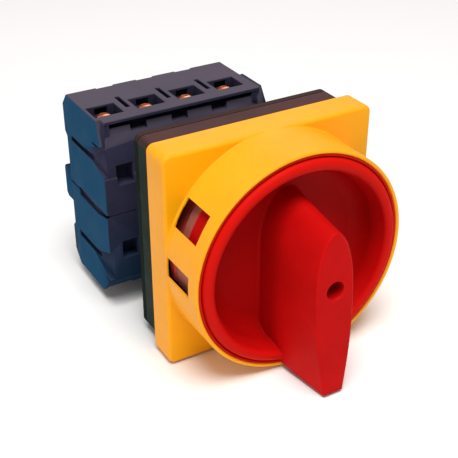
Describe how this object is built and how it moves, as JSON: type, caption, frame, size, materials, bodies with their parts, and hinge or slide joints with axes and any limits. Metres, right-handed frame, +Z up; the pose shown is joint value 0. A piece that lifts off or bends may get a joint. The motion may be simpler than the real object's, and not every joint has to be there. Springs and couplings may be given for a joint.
{
  "type": "rotary isolator switch",
  "caption": "Panel-mounted rotary isolator: red handle in a yellow padlock collar, and a blue contact block with screw terminals behind.",
  "frame": {"origin": "where the shaft's axis meets the plane of the panel's front face, which the gasket lies on", "axes": "+Z up, -Y out of the panel towards the handle, +Y into the enclosure, +X to the right seen from the front"},
  "size_m": [0.0696, 0.1002, 0.0672],
  "materials": {
    "yellow": "satin",
    "red": "satin",
    "black": "matt",
    "rubber": "matt",
    "beige": "matt",
    "grey": "matt",
    "blue": "matt",
    "copper": "bright",
    "bronze": "plated",
    "steel": "zinc plated"
  },
  "bodies": {
    "root": {"masking_plate": "yellow", "base_frame": "black", "panel_gasket": "rubber", "shaft_seal": "rubber", "shaft_bush": "beige", "housing_upper": "blue", "housing_lower": "blue", "rear_bar": "blue", "rear_screw_1": "steel", "rear_screw_2": "steel", "rear_screw_3": "steel", "rear_screw_4": "steel", "mounting_screw_1": "steel", "mounting_screw_2": "steel", "mounting_screw_3": "steel", "mounting_screw_4": "steel", "detent_roller_left": "steel", "detent_spring_left": "steel", "detent_roller_right": "steel", "detent_spring_right": "steel", "fixed_contact_top_1": "copper", "clamp_plate_top_1": "steel", "terminal_screw_top_1": "bronze", "fixed_contact_bottom_1": "copper", "clamp_plate_bottom_1": "steel", "terminal_screw_bottom_1": "bronze", "fixed_contact_top_2": "copper", "clamp_plate_top_2": "steel", "terminal_screw_top_2": "bronze", "fixed_contact_bottom_2": "copper", "clamp_plate_bottom_2": "steel", "terminal_screw_bottom_2": "bronze", "fixed_contact_top_3": "copper", "clamp_plate_top_3": "steel", "terminal_screw_top_3": "bronze", "fixed_contact_bottom_3": "copper", "clamp_plate_bottom_3": "steel", "terminal_screw_bottom_3": "bronze", "fixed_contact_top_4": "copper", "clamp_plate_top_4": "steel", "terminal_screw_top_4": "bronze", "fixed_contact_bottom_4": "copper", "clamp_plate_bottom_4": "steel", "terminal_screw_bottom_4": "bronze"},
    "handle": {"handle": "red", "lock_ring": "grey", "lock_drum": "red", "handle_screw": "steel", "shaft": "black", "index_disc": "beige", "drive_pinion": "beige"},
    "carriage": {"contact_carriage": "beige", "contact_bridge_1": "copper", "contact_spring_1": "steel", "contact_bridge_2": "copper", "contact_spring_2": "steel", "contact_bridge_3": "copper", "contact_spring_3": "steel", "contact_bridge_4": "copper", "contact_spring_4": "steel"}
  },
  "joints": [
    {"name": "handle_turn", "type": "hinge", "parent": "root", "child": "handle", "pos_m": [0, 0, 0], "axis": [0, -1, 0], "range_deg": [0, 90]},
    {"name": "carriage_slide", "type": "slide", "parent": "root", "child": "carriage", "axis": [1, 0, 0], "range_m": [0, 0.00471]}
  ],
  "couplings": [
    {"joint": "carriage_slide", "follows": "handle_turn", "m_per_rad": 0.003}
  ]
}
